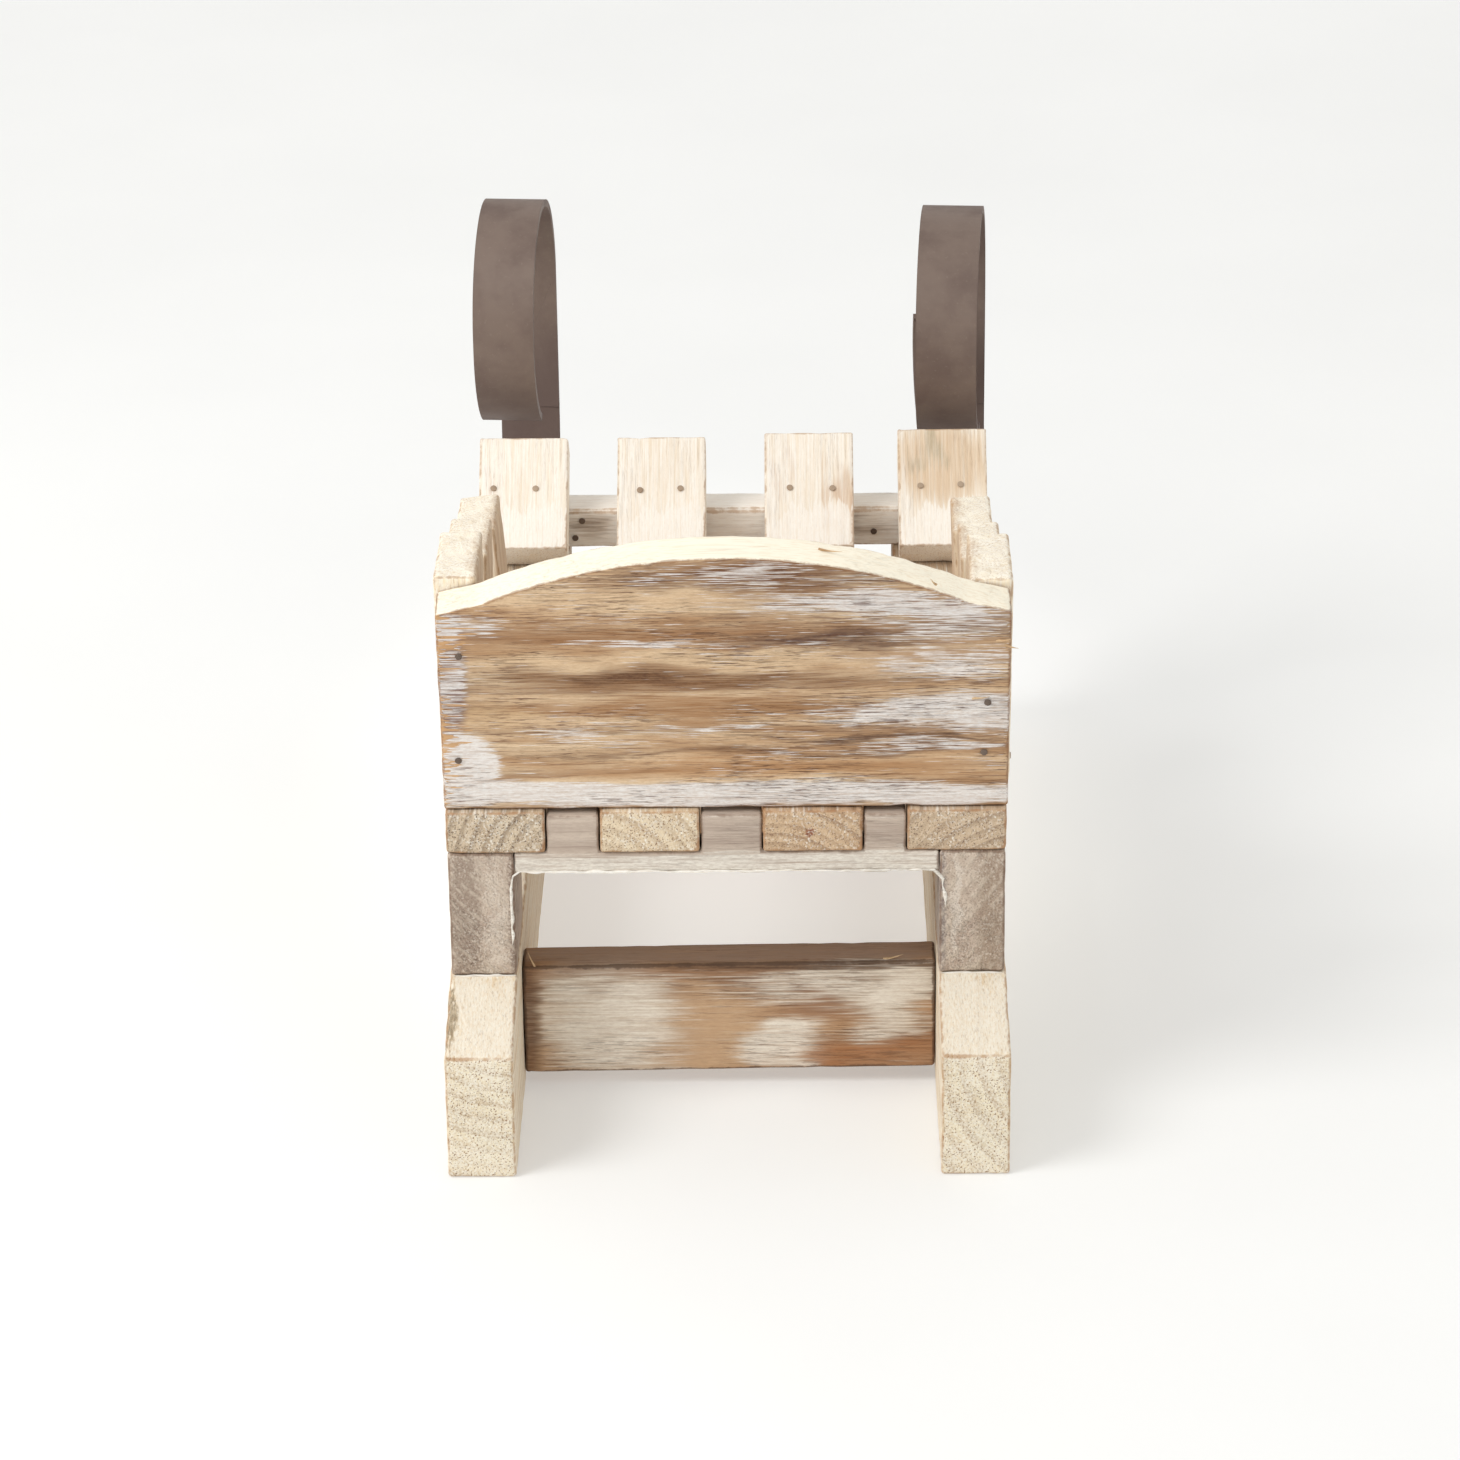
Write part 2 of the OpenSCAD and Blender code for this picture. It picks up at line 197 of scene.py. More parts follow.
broad = grainNoise(tree, place, 0.06, gi["Band Width"], 3.0, 0.6)
plug(tree, go["Rings"], rings)
plug(tree, go["Fibre"], fibre)
plug(tree, go["Bands"], fade(tree, broad, 0.32, 0.68))
speck = noiseOf(tree, gi["Coords"], (160, 1700, 1700), 1.0, 0.5)
plug(tree, go["Pores"], fade(tree, speck, 0.6, 0.7))
plug(tree, go["Height"], plus(tree, times(tree, rings, 0.35), fibre))

# dry brush strokes along X; more of them where coverage is higher
dryBrush, gi, go = newGroup(
    "dryBrush",
    [("Coords", vector, None), ("Coverage", number, 0.3), ("Bristle", number, 0.0008),
     ("Softness", number, 0.08)],
    [("Mask", number), ("Height", number)],
)
tree = dryBrush
hair = grainNoise(tree, gi["Coords"], 0.032, gi["Bristle"], 3.0)
cloud = noiseOf(tree, gi["Coords"], (28, 95, 95), 3.0, 0.6)
level = plus(tree, times(tree, hair, 0.7), times(tree, cloud, 0.3))
gate = minus(tree, 0.72, times(tree, gi["Coverage"], 0.46))
low = minus(tree, gate, gi["Softness"])
high = plus(tree, gate, gi["Softness"])
plug(tree, go["Mask"], fade(tree, level, low, high))
plug(tree, go["Height"], level)

# a soft spot around a point: paint or stain on the wood, and the painted pool of light on the floor
paintSpotAndLightPool, gi, go = newGroup(
    "paintSpotAndLightPool",
    [("Coords", vector, None), ("Centre", vector, (0, 0, 0)), ("Reach", vector, (0.01, 0.01, 0.01)),
     ("Softness", number, 0.35)],
    [("Mask", number)],
)
tree = paintSpotAndLightPool
fromCentre = vectorOf(tree, "SUBTRACT", gi["Coords"], gi["Centre"])
away = vectorOf(tree, "LENGTH", vectorOf(tree, "DIVIDE", fromCentre, gi["Reach"]))
inner = minus(tree, 1.0, gi["Softness"])
outer = plus(tree, 1.0, gi["Softness"])
plug(tree, go["Mask"], fade(tree, away, inner, outer, 1.0, 0.0))

# rubbed corners, broken up so that the line isn't even
edgeWear, gi, go = newGroup(
    "edgeWear",
    [("Coords", vector, None), ("Edge", number, 0.0), ("Amount", number, 0.5)],
    [("Mask", number)],
)
tree = edgeWear
broken = noiseOf(tree, gi["Coords"], (190, 190, 190), 4.0, 0.65)
reach = plus(tree, gi["Edge"], times(tree, minus(tree, broken, 0.5), 1.1))
gate = minus(tree, 1.15, times(tree, gi["Amount"], 0.9))
plug(tree, go["Mask"], fade(tree, reach, minus(tree, gate, 0.15), plus(tree, gate, 0.15)))

# shallow saw marks across a face
sawMarks, gi, go = newGroup(
    "sawMarks",
    [("Coords", vector, None), ("Direction", vector, (0, 1, 0)), ("Pitch", number, 0.0016)],
    [("Mask", number)],
)
tree = sawMarks
shift = times(tree, noiseOf(tree, gi["Coords"], (120, 120, 120), 2.0), 0.003)
along = plus(tree, vectorOf(tree, "DOT_PRODUCT", gi["Coords"], gi["Direction"]), shift)
wave = mathOf(tree, "SINE", times(tree, mathOf(tree, "DIVIDE", along, gi["Pitch"]), 2 * math.pi))
patchy = fade(tree, noiseOf(tree, gi["Coords"], (260, 260, 260), 2.0), 0.4, 0.62)
plug(tree, go["Mask"], times(tree, fade(tree, wave, -0.6, 1.0), patchy))
print("shader groups ready")

plainWood = {  # what a board has unless its own dictionary says otherwise
    "pale": rgb(238, 218, 186), "mid": rgb(214, 184, 146), "dark": rgb(150, 108, 72),
    "wash": rgb(240, 236, 226), "edgeColour": rgb(168, 122, 82),
    "pith": mm(0, 22, -34), "ringWidth": 0.0042, "wander": 0.005, "bandWidth": 0.009, "fibreWidth": 0.0008,
    "rings": 0.35, "fibre": 0.35, "bands": 0.8, "pits": 0.5, "grit": 0.35, "cracks": 0.4,
    "cover": 0.5, "washStrength": 0.85, "bristle": 0.0009, "brushSoft": 0.1,
    "edge": 0.35, "edgeStrength": 0.7,
    "saw": 0.0, "sawDirection": (0, 0.7, 0.7), "sawPitch": 0.0016,
    "relief": 0.5, "reliefDepth": 0.0006, "rough": (0.62, 0.78),
    "fray": mm(60, 2, 2), "sway": mm(26, 12, 12), "tightFray": mm(7, 3, 2),  # how ragged a spot's outline is
    "patches": [], "endColour": None, "topColour": None, "endRings": 0.0, "flecks": 0.0,
}
noiseSize = {  # cells of each noise in a metre, along and across the grain
    "fray": (60, 900, 900), "sway": (26, 70, 70), "grit": (420, 1500, 1500), "crack": (14, 620, 620),
    "crackPlace": (24, 60, 60), "dash": (95, 1500, 1500), "dashPlace": (22, 90, 90),
}


def patch(at, reach, colour=None, strength=0.8, cover=0.0, solid=0.6, soft=0.6, tight=False):
    # a spot of stain or paint; its place and reach are in mm along the board's own axes, and a tight one
    # keeps its outline
    return {"at": mm(*at), "reach": mm(*reach), "colour": rgb(*colour) if colour else None,
            "strength": strength, "cover": cover, "solid": solid, "soft": soft, "tight": tight}


def boardFinish(name, own):
    v = {**plainWood, **own}
    made = bpy.data.materials.new(name)
    made.use_nodes = True
    tree = made.node_tree
    shader = next(n for n in tree.nodes if n.type == "BSDF_PRINCIPLED")
    coords = tree.nodes.new("ShaderNodeTexCoord").outputs["Object"]
    fray = centredNoise(tree, coords, noiseSize["fray"], 0.6)
    sway = centredNoise(tree, coords, noiseSize["sway"], 0.5)
    loose = vectorOf(tree, "ADD", coords, vectorOf(tree, "MULTIPLY", fray, v["fray"]))
    loose = vectorOf(tree, "ADD", loose, vectorOf(tree, "MULTIPLY", sway, v["sway"]))
    tight = vectorOf(tree, "ADD", coords, vectorOf(tree, "MULTIPLY", fray, v["tightFray"]))
    side = partsOf(tree, meshValue(tree, "side", "Vector"))
    grain = useGroup(tree, boardGrain, {
        "Coords": coords, "Pith": v["pith"], "Ring Width": v["ringWidth"], "Wander": v["wander"],
        "Band Width": v["bandWidth"], "Fibre Width": v["fibreWidth"]})
    body = mixOf(tree, times(tree, grain["Bands"], v["bands"]), v["pale"], v["mid"])
    fibreMask = fade(tree, grain["Fibre"], 0.52, 0.66)
    ends = fade(tree, mathOf(tree, "ABSOLUTE", side[0]), 0.6, 0.85)
    if v["endColour"]:
        sawn = mixOf(tree, times(tree, grain["Bands"], 0.5), v["endColour"], v["mid"])
        body = mixOf(tree, ends, body, sawn)
    ringStrength = fade(tree, ends, 0.0, 1.0, v["rings"], max(v["rings"], v["endRings"]))
    body = mixOf(tree, times(tree, grain["Rings"], ringStrength), body, v["dark"])
    body = mixOf(tree, times(tree, fibreMask, v["fibre"]), body, v["dark"])
    cover = v["cover"]
    for spot in v["patches"]:
        mask = useGroup(tree, paintSpotAndLightPool, {
            "Coords": tight if spot["tight"] else loose, "Centre": spot["at"], "Reach": spot["reach"],
            "Softness": spot["soft"]})["Mask"]
        if spot["colour"]:
            streaks = fade(tree, grain["Fibre"], 0.3, 0.6, spot["solid"], 1.0)
            strength = times(tree, mask, spot["strength"])
            body = mixOf(tree, times(tree, strength, streaks), body, spot["colour"])
        if spot["cover"]:
            cover = plus(tree, cover, times(tree, mask, spot["cover"]))
    wash = useGroup(tree, dryBrush, {
        "Coords": coords, "Coverage": cover, "Bristle": v["bristle"], "Softness": v["brushSoft"]})
    paint = times(tree, wash["Mask"], v["washStrength"])
    washTone = mixOf(tree, fade(tree, grain["Fibre"], 0.45, 0.75, 0.0, 0.45), v["wash"], v["mid"])
    body = mixOf(tree, paint, body, washTone)
    grit = fade(tree, noiseOf(tree, coords, noiseSize["grit"], 3.0, 0.7), 0.4, 0.62)
    body = mixOf(tree, times(tree, grit, v["grit"]), body, v["mid"])
    if v["flecks"]:  # short dark dashes along the grain
        dashes = fade(tree, noiseOf(tree, coords, noiseSize["dash"], 3.0, 0.65), 0.54, 0.6)
        clusters = fade(tree, noiseOf(tree, coords, noiseSize["dashPlace"], 3.0), 0.42, 0.6)
        dashes = times(tree, dashes, clusters)
        body = mixOf(tree, times(tree, dashes, v["flecks"]), body, v["dark"])
    crack = noiseOf(tree, coords, noiseSize["crack"], 3.0, 0.7)
    crackMask = fade(tree, mathOf(tree, "ABSOLUTE", minus(tree, crack, 0.5)), 0.0, 0.012, 1.0, 0.0)
    crackPlace = fade(tree, noiseOf(tree, coords, noiseSize["crackPlace"], 2.0), 0.46, 0.62)
    crackMask = times(tree, crackMask, crackPlace)
    body = mixOf(tree, times(tree, crackMask, v["cracks"]), body, v["dark"])
    pits = times(tree, grain["Pores"], times(tree, fade(tree, ends, 0.0, 1.0, 0.25, 1.0), v["pits"]))
    body = mixOf(tree, pits, body, v["dark"])
    if v["topColour"]:  # an edge that was cut after the board was stained
        cut = fade(tree, side[1], 0.55, 0.8)
        fresh = mixOf(tree, fade(tree, grain["Fibre"], 0.45, 0.7, 0.0, 0.4), v["topColour"], v["pale"])
        body = mixOf(tree, cut, body, fresh)
    marks = None
    if v["saw"]:
        marks = useGroup(tree, sawMarks, {
            "Coords": coords, "Direction": v["sawDirection"], "Pitch": v["sawPitch"]})["Mask"]
        body = mixOf(tree, times(tree, marks, v["saw"]), body, v["pale"])
    worn = useGroup(tree, edgeWear, {
        "Coords": coords, "Edge": meshValue(tree, "edge"), "Amount": v["edge"]})["Mask"]
    body = mixOf(tree, times(tree, worn, v["edgeStrength"]), body, v["edgeColour"])
    plug(tree, shader.inputs["Base Color"], body)
    low, high = v["rough"]
    plug(tree, shader.inputs["Roughness"], fade(tree, grain["Fibre"], 0.3, 0.7, low, high))
    shader.inputs["Specular IOR Level"].default_value = 0.3
    height = plus(tree, times(tree, grain["Height"], 0.6), times(tree, wash["Height"], 0.5))
    height = minus(tree, height, times(tree, plus(tree, pits, crackMask), 0.5))
    if marks is not None:
        height = plus(tree, height, times(tree, marks, 0.6))
    bump = tree.nodes.new("ShaderNodeBump")
    bump.inputs["Strength"].default_value = v["relief"]
    bump.inputs["Distance"].default_value = v["reliefDepth"]
    plug(tree, bump.inputs["Height"], height)
    plug(tree, shader.inputs["Normal"], bump.outputs["Normal"])
    return made


def cleanCopy(node):
    # a CAD node with its flat faces whole again
    bm = bmesh.new()
    bm.from_mesh(cadNodes[node].data)
    bmesh.ops.remove_doubles(bm, verts=bm.verts, dist=1e-5)
    bmesh.ops.dissolve_limit(bm, angle_limit=math.radians(0.8), verts=bm.verts, edges=bm.edges)
    bm.normal_update()
    return bm


def boardAxes(node, along, out):
    # the biggest flat face on the out side sets the board's own axes
    out, along = Vector(out), Vector(along)
    bm = cleanCopy(node)
    facing = [f for f in bm.faces if f.normal.dot(out) > 0.6]
    z = max(facing, key=lambda f: f.calc_area()).normal.copy()
    bm.free()
    x = (along - z * along.dot(z)).normalized()
    y = z.cross(x)
    low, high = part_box(node)
    spin = Matrix((x, y, z)).transposed().to_4x4()
    return Matrix.Translation((low + high) / 2) @ spin


def sharpEdges(bm, degrees=25):
    return [e for e in bm.edges if len(e.link_faces) == 2 and e.calc_face_angle(0) > math.radians(degrees)]


def distanceToLines(points, lines):
    best = np.full(len(points), 1e9)
    for a, b in lines:
        d = b - a
        t = np.clip(((points - a) @ d) / max(d @ d, 1e-12), 0, 1)
        best = np.minimum(best, np.linalg.norm(points - a - t[:, None] * d, axis=1))
    return best


def cutGrid(bm, steps):
    # slices the mesh along its own axes, closer together near the sides
    low = [min(v.co[i] for v in bm.verts) for i in range(3)]
    high = [max(v.co[i] for v in bm.verts) for i in range(3)]
    for axis in range(3):
        span = high[axis] - low[axis]
        count = max(2, round(span / steps[axis]))
        cuts = [low[axis] + span * k / count for k in range(1, count)]
        cuts += [low[axis] + plainShape["rim"], high[axis] - plainShape["rim"]]
        direction = [1.0 if i == axis else 0.0 for i in range(3)]
        for cut in sorted(cuts):
            centre = [cut if i == axis else 0.0 for i in range(3)]
            bmesh.ops.bisect_plane(
                bm, geom=bm.verts[:] + bm.edges[:] + bm.faces[:], dist=2e-5, plane_co=centre,
                plane_no=direction)


def addObject(name, bm, place, finish):
    mesh = bpy.data.meshes.new(name)
    bm.to_mesh(mesh)
    bm.free()
    mesh.materials.append(finish)
    mesh.shade_smooth()
    mesh.set_sharp_from_angle(angle=math.radians(40))
    made = bpy.data.objects.new(name, mesh)
    scene.collection.objects.link(made)
    made.matrix_world = place
    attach(made, "root")
    return made


def storeValues(mesh, edge):
    layer = mesh.attributes.new("edge", "FLOAT", "POINT")
    layer.data.foreach_set("value", edge.astype(np.float32))
    normals = np.zeros(len(mesh.vertices) * 3, np.float32)
    mesh.vertex_normals.foreach_get("vector", normals)
    mesh.attributes.new("side", "FLOAT_VECTOR", "POINT").data.foreach_set("vector", normals)


scene = bpy.context.scene
plainShape = {
    "round": 0.0011, "wave": 0.00022, "waveSize": (18, 60), "seed": 0,
    "chip": 0.0007, "chipReach": 0.0019, "chipSize": (210, 640),  # corners lose a little wood
    "steps": (0.006, 0.0045, 0.0045), "rim": 0.0022,  # spacing of the mesh, and its first row from a side
}


def makeBoard(name, node, along, out, shape, finish):
    # a board shaped by its CAD node: eased corners, small waves and chipped edges
    s = {**plainShape, **shape}
    place = boardAxes(node, along, out)
    bm = cleanCopy(node)
    bm.transform(place.inverted())
    bm.normal_update()
    lines = [(np.array(e.verts[0].co), np.array(e.verts[1].co)) for e in sharpEdges(bm)]
    bmesh.ops.bevel(bm, geom=sharpEdges(bm), offset=s["round"], segments=3, profile=0.5, affect="EDGES",
                    clamp_overlap=True)
    cutGrid(bm, s["steps"])
    bmesh.ops.remove_doubles(bm, verts=bm.verts, dist=1e-5)
    bm.normal_update()
    points = np.array([v.co for v in bm.verts])
    near = np.exp(-((distanceToLines(points, lines) / s["chipReach"]) ** 2))
    shiftBy = Vector((s["seed"] * 3.7, s["seed"] * 1.3, s["seed"] * 2.1))
    lengthwise, crosswise = s["waveSize"]
    big, small = s["chipSize"]
    moves = []
    for vert, edge in zip(bm.verts, near):
        spot = vert.co + shiftBy
        rolling = Vector((spot.x * lengthwise, spot.y * crosswise, spot.z * crosswise))
        wave = 0.5 + 0.5 * noise.noise(rolling)
        bite = max(0.0, noise.noise(spot * big) + 0.35 * noise.noise(spot * small) - 0.02)
        moves.append(-vert.normal * (s["wave"] * wave + s["chip"] * bite * edge))
    for vert, move in zip(bm.verts, moves):
        vert.co += move
    bm.normal_update()
    made = addObject(name, bm, place, finish)
    storeValues(made.data, near)
    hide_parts(node)
    weights = made.modifiers.new("flatFaces", "WEIGHTED_NORMAL")
    weights.keep_sharp = True
    return made


xAxis, yAxis, zAxis = (1, 0, 0), (0, 1, 0), (0, 0, 1)
rearward = (0, -1, 0)

# rear board: brown stain in long bands, brushed white at the right and along the foot
rearBoard = {
    "pale": rgb(228, 202, 168), "mid": rgb(172, 130, 90), "dark": rgb(88, 54, 38),
    "grit": 0.22, "cracks": 0.95, "flecks": 0.6,
    "wash": rgb(240, 238, 236), "edgeColour": rgb(140, 98, 64), "topColour": rgb(252, 244, 224),
    "pith": mm(0, 60, -70), "ringWidth": 0.0062, "wander": 0.012, "bandWidth": 0.0075, "fibreWidth": 0.0007,
    "rings": 0.3, "fibre": 0.55, "bands": 0.85, "edge": 0.32, "edgeStrength": 0.6, "relief": 0.6,
    "cover": 0.2, "washStrength": 0.8, "bristle": 0.0004, "brushSoft": 0.035,
    "patches": [
        patch((-35, 35, 8), (75, 3.5, 9), colour=(230, 202, 166), strength=0.8),
        patch((16, 44, 8), (44, 6, 9), colour=(100, 64, 44), strength=0.95, cover=0.12),
        patch((8, 43, 8), (20, 4, 9), cover=0.2),
        patch((50, 33, 8), (46, 4.5, 9), colour=(122, 98, 86), strength=0.7, cover=0.36),
        patch((76, 25, 8), (28, 8, 9), colour=(106, 84, 76), strength=0.7, cover=0.3),
        patch((-25, 21, 8), (62, 6, 9), colour=(150, 106, 68), strength=0.85),
        patch((35, 18, 8), (28, 3.5, 9), colour=(84, 58, 50), strength=0.9, cover=0.04),
        patch((-27, 17, 8), (20, 1.5, 9), cover=0.45),
        patch((-20, 10.5, 8), (88, 3, 9), colour=(226, 198, 162), strength=0.85),
        patch((76, 9, 8), (28, 6, 9), colour=(190, 168, 148), strength=0.5, cover=0.32),
        patch((-22, 2.5, 8), (62, 4.6, 9), colour=(116, 78, 48), strength=0.95),
        patch((-36, 3.5, 8), (18, 2.4, 9), colour=(86, 56, 38), strength=0.8),
        patch((-10, -9, 8), (70, 5, 9), colour=(154, 110, 70), strength=0.8),
        patch((-82, -13, 8), (12, 6, 9), colour=(214, 182, 142), strength=0.7),
        patch((79, -12, 8), (34, 7, 9), colour=(206, 194, 180), strength=0.6, cover=0.5),
        patch((-5, -17.5, 8), (22, 2.4, 9), cover=0.28),
        patch((-47, -22.5, 8), (24, 2.6, 9), cover=0.24),
        patch((15, -28, 8), (72, 1.1, 9), colour=(112, 78, 52), strength=0.8),
        patch((58, -22, 8), (42, 0.9, 9), colour=(86, 62, 52), strength=0.85),
        patch((25, -34, 8), (68, 4.6, 9), colour=(188, 142, 98), strength=0.75),
        patch((74, -25.5, 8), (26, 2.6, 9), colour=(126, 104, 92), strength=0.6, cover=0.34),
        patch((-91, -33, 8), (11, 13, 9), colour=(214, 204, 190), strength=0.6, cover=0.8, soft=0.35,
              tight=True),
        patch((0, -46, 8), (150, 5.6, 9), colour=(206, 196, 184), strength=0.6, cover=0.62, soft=0.35),
        patch((-94.5, 2, 8), (5, 27, 9), colour=(124, 102, 100), strength=0.9, cover=0.3, soft=0.35,
              tight=True),
        patch((-90, 23, 8), (10, 4.5, 9), colour=(142, 124, 116), strength=0.6, cover=0.3),
        patch((-102, 0, 8), (4, 80, 9), colour=(208, 164, 116), strength=0.95, cover=-0.9, soft=0.2),
    ],
}
makeBoard("rearBoard", "rear_board", xAxis, rearward, {"seed": 1, "wave": 0.00025, "chip": 0.0009},
          boardFinish("rearBoardWood", rearBoard))
print("rear board built")

# floor planks: sawn ends at the rear, each a different cut of the log
plankFinishes = [
    {"pale": rgb(214, 196, 170), "mid": rgb(178, 154, 126), "dark": rgb(92, 70, 54),
     "pith": mm(0, -30, -16), "ringWidth": 0.0046, "rings": 0.6,
     "pits": 0.9, "cover": 0.3, "endColour": rgb(214, 196, 170)},
    {"pale": rgb(230, 212, 182), "mid": rgb(206, 180, 146), "dark": rgb(134, 100, 72),
     "pith": mm(0, 24, -30), "ringWidth": 0.0056, "rings": 0.4,
     "pits": 0.9, "cover": 0.3, "endColour": rgb(230, 214, 186)},
    {"pale": rgb(216, 188, 156), "mid": rgb(180, 146, 112), "dark": rgb(112, 78, 56),
     "pith": mm(0, 14, -38), "ringWidth": 0.0034, "rings": 0.55,
     "pits": 0.7, "cover": 0.25, "endColour": rgb(214, 188, 156),
     "patches": [patch((-134, 0.5, 1), (20, 1.7, 2), colour=(128, 62, 40), strength=0.95, soft=0.3)]},
    {"pale": rgb(212, 190, 162), "mid": rgb(180, 154, 126), "dark": rgb(106, 80, 62),
     "pith": mm(0, -26, -40), "ringWidth": 0.0044, "rings": 0.5,
     "pits": 0.8, "cover": 0.25, "endColour": rgb(210, 188, 160)},
]
for index, own in enumerate(plankFinishes, 1):
    makeBoard(f"floorPlank{index}", f"floor_plank_{index}", yAxis, zAxis, {"seed": 10 + index},
              boardFinish(f"plankWood{index}", own))

battenFinish = {  # the lower strip is painted, the teeth between the planks are bare and grey
    "pale": rgb(200, 184, 168), "mid": rgb(172, 154, 140), "dark": rgb(118, 98, 88),
    "cover": 0.12, "rings": 0.2, "wash": rgb(232, 226, 214), "edgeColour": rgb(140, 118, 102), "edge": 0.25,
    "patches": [patch((0, -8, -9.5), (120, 8, 6), cover=0.62, soft=0.4)],
}
makeBoard("rearBatten", "rear_batten", xAxis, zAxis, {"seed": 21, "chip": 0.0006},
          boardFinish("rearBattenWood", battenFinish))
makeBoard("frontBatten", "front_batten", xAxis, zAxis, {"seed": 22},
          boardFinish("frontBattenWood", {"cover": 0.45}))
print("floor built")

# legs: the rear ones rough sawn and grey, the front ones painted
legFinish = {
    "pale": rgb(206, 190, 172), "mid": rgb(182, 160, 143), "dark": rgb(108, 86, 74),
    "wash": rgb(220, 208, 194), "edgeColour": rgb(120, 94, 76),
    "rings": 0.2, "fibre": 0.35, "pits": 0.4, "cover": 0.25, "saw": 0.62, "relief": 0.9, "grit": 0.2,
}
frontLegFinish = {
    "pale": rgb(236, 230, 220), "mid": rgb(220, 210, 198), "dark": rgb(168, 152, 138),
    "wash": rgb(240, 237, 230), "cover": 0.7,
}
leftRearLeg = {
    "pith": mm(0, -40, 20), "sawDirection": (0, 0.72, -0.7), "sawPitch": 0.0027,
    "patches": [
        patch((-24, 6, 0), (30, 5.5, 34), colour=(138, 120, 106), strength=0.75, soft=0.3, tight=True),
        patch((-24, -11, 0), (30, 1.6, 34), colour=(122, 102, 90), strength=0.8, soft=0.5, tight=True),
        patch((-24, -5, -4), (30, 4, 22), cover=0.3),
    ],
}
rightRearLeg = {
    "pith": mm(0, 50, -26), "sawDirection": (0, 0.8, 0.6), "sawPitch": 0.0044,
    "patches": [
        patch((-24, -7, 0), (30, 5, 34), colour=(142, 120, 100), strength=0.75, soft=0.5, tight=True),
        patch((-24, 11, 2), (30, 1.8, 30), colour=(112, 104, 106), strength=0.7, soft=0.5, tight=True),
        patch((-24, 5, 4), (30, 1.3, 18), cover=0.6),
    ],
}
legPieces = {
    "leftRearLeg": ("left_rear_leg", leftRearLeg),
    "rightRearLeg": ("right_rear_leg", rightRearLeg),
    "leftFrontLeg": ("left_front_leg", {"pith": mm(0, 40, 20), **frontLegFinish}),
    "rightFrontLeg": ("right_front_leg", {"pith": mm(0, -40, -20), **frontLegFinish}),
}
for index, (name, (node, own)) in enumerate(legPieces.items()):
    makeBoard(name, node, yAxis, zAxis, {"seed": 30 + index, "chip": 0.0009},
              boardFinish(name + "Wood", {**legFinish, **own}))

# runners: pale wood, brushed on the sloping tails, bare on the sawn ends
runnerFinish = {
    "pale": rgb(240, 226, 200), "mid": rgb(224, 202, 168), "dark": rgb(150, 116, 84),
    "wash": rgb(240, 234, 220), "endColour": rgb(236, 226, 200), "edgeColour": rgb(176, 134, 94),
    "rings": 0.32, "endRings": 0.6, "fibre": 0.3, "pits": 1.0, "cover": 0.5,
}
leftRunner = {
    "pith": mm(0, -14, 52), "ringWidth": 0.006,
    "patches": [
        patch((-172, 13, 22), (17, 4.5, 8), colour=(126, 110, 86), strength=0.9, cover=-0.3, soft=0.3),
        patch((-172, -3, 24), (30, 11, 6), cover=0.4),
    ],
}
rightRunner = {
    "pith": mm(0, -46, 20), "ringWidth": 0.0066,
    "patches": [
        patch((-172, 0, 24), (30, 14, 6), cover=0.35),
        patch((-158, 2, 27), (10, 12, 6), colour=(206, 202, 190), strength=0.5),
    ],
}
makeBoard("leftRunner", "left_runner", yAxis, zAxis, {"seed": 41, "round": 0.0014, "chip": 0.001},
          boardFinish("leftRunnerWood", {**runnerFinish, **leftRunner}))
makeBoard("rightRunner", "right_runner", yAxis, zAxis, {"seed": 42, "round": 0.0012, "chip": 0.0009},
          boardFinish("rightRunnerWood", {**runnerFinish, **rightRunner}))

# crossbars: brown, brushed white in places
crossbarFinish = {
    "pale": rgb(192, 154, 116), "mid": rgb(160, 120, 88), "dark": rgb(98, 68, 48),
    "wash": rgb(240, 232, 218), "grit": 0.15, "flecks": 0.45,
    "bandWidth": 0.014, "rings": 0.3, "fibre": 0.4, "cover": 0.12, "edgeColour": rgb(84, 64, 50), "edge": 0.5,
    "pith": mm(0, 30, -60), "ringWidth": 0.008, "bristle": 0.0008, "brushSoft": 0.16,
    "fray": mm(9, 6, 2), "sway": mm(36, 30, 12),
}
rearCrossbar = {"patches": [
    patch((-46, -2, 8), (24, 24, 7), colour=(222, 210, 192), strength=0.9, cover=0.5, solid=0.8, soft=0.6),
    patch((-48, 19, 8), (18, 4, 7), colour=(146, 118, 98), strength=0.6, cover=-0.25),
    patch((-74, 0, 8), (5, 30, 7), colour=(104, 74, 52), strength=0.85, cover=-0.6, soft=0.5, tight=True),
    patch((-3, -4, 8), (17, 20, 7), colour=(200, 168, 134), strength=0.8, soft=0.5),
    patch((-4, 18, 8), (24, 4, 7), colour=(134, 98, 72), strength=0.7),
    patch((22, -12, 8), (15, 8, 7), colour=(222, 212, 196), strength=0.8, cover=0.6, soft=0.6),
    patch((48, 14, 8), (32, 9, 7), colour=(176, 164, 148), strength=0.75, cover=0.45),
    patch((61, 3, 8), (14, 13, 7), colour=(180, 170, 156), strength=0.75, cover=0.5),
    patch((30, 20.5, 8), (60, 1.6, 8), colour=(70, 50, 38), strength=0.8, cover=-0.4, soft=0.5, tight=True),
    patch((54, -15, 8), (26, 6.5, 7), colour=(160, 106, 66), strength=0.8, cover=-0.3),
    patch((30, 3, 8), (14, 6, 7), colour=(134, 98, 76), strength=0.65),
    patch((0, 22.5, -1.5), (110, 3, 8.5), colour=(160, 136, 118), strength=0.95, cover=-0.2, soft=0.25,
          tight=True),
]}
